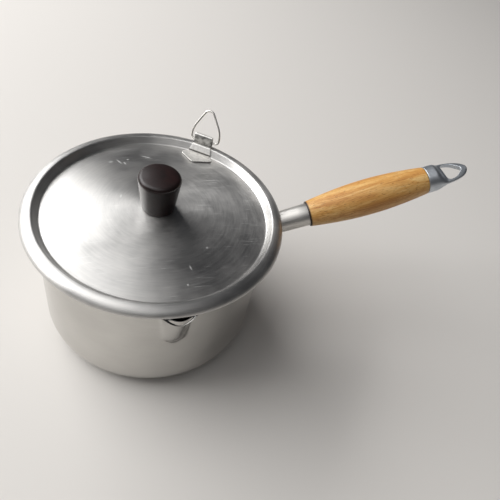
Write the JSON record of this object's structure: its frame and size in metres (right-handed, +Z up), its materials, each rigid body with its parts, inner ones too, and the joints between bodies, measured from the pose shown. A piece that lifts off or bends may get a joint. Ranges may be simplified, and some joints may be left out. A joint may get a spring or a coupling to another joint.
{
  "type": "saucepan",
  "caption": "Small drawn steel saucepan with a pouring lip, a recessed lid with a moulded knob and a wire hanging ring, and a wooden handle with a hanging eye.",
  "frame": {"origin": "centre of the pan's flat underside", "axes": "+Z up, +X along the handle away from the pan, the pouring lip towards -Y"},
  "size_m": [0.3338, 0.1819, 0.1424],
  "materials": {
    "pan_steel": "polished",
    "lid_steel": "satin, worn",
    "fitting_steel": "bright",
    "grip_wood": "waxed",
    "knob_phenolic": "semi-gloss moulded",
    "insert_brass": "turned"
  },
  "bodies": {
    "pan": {"pan_body": "pan_steel", "handle_bracket": "fitting_steel", "tie_rod": "fitting_steel", "ferrule": "fitting_steel", "wooden_grip": "grip_wood", "end_cap": "fitting_steel"},
    "lid": {"lid": "lid_steel", "knob": "knob_phenolic", "knob_insert": "insert_brass", "knob_screw": "fitting_steel", "knob_washer": "fitting_steel", "lid_clip": "fitting_steel"},
    "ring": {"hanging_ring": "fitting_steel"}
  },
  "joints": [
    {"name": "lid_lift", "type": "slide", "parent": "pan", "child": "lid", "axis": [0, 0, 1], "range_m": [0, 0.15]},
    {"name": "ring_swing", "type": "hinge", "parent": "lid", "child": "ring", "pos_m": [0.04667, 0.07021, 0.11419], "axis": [-0.8355, 0.5426, -0.0872], "range_deg": [-122, 104]}
  ]
}
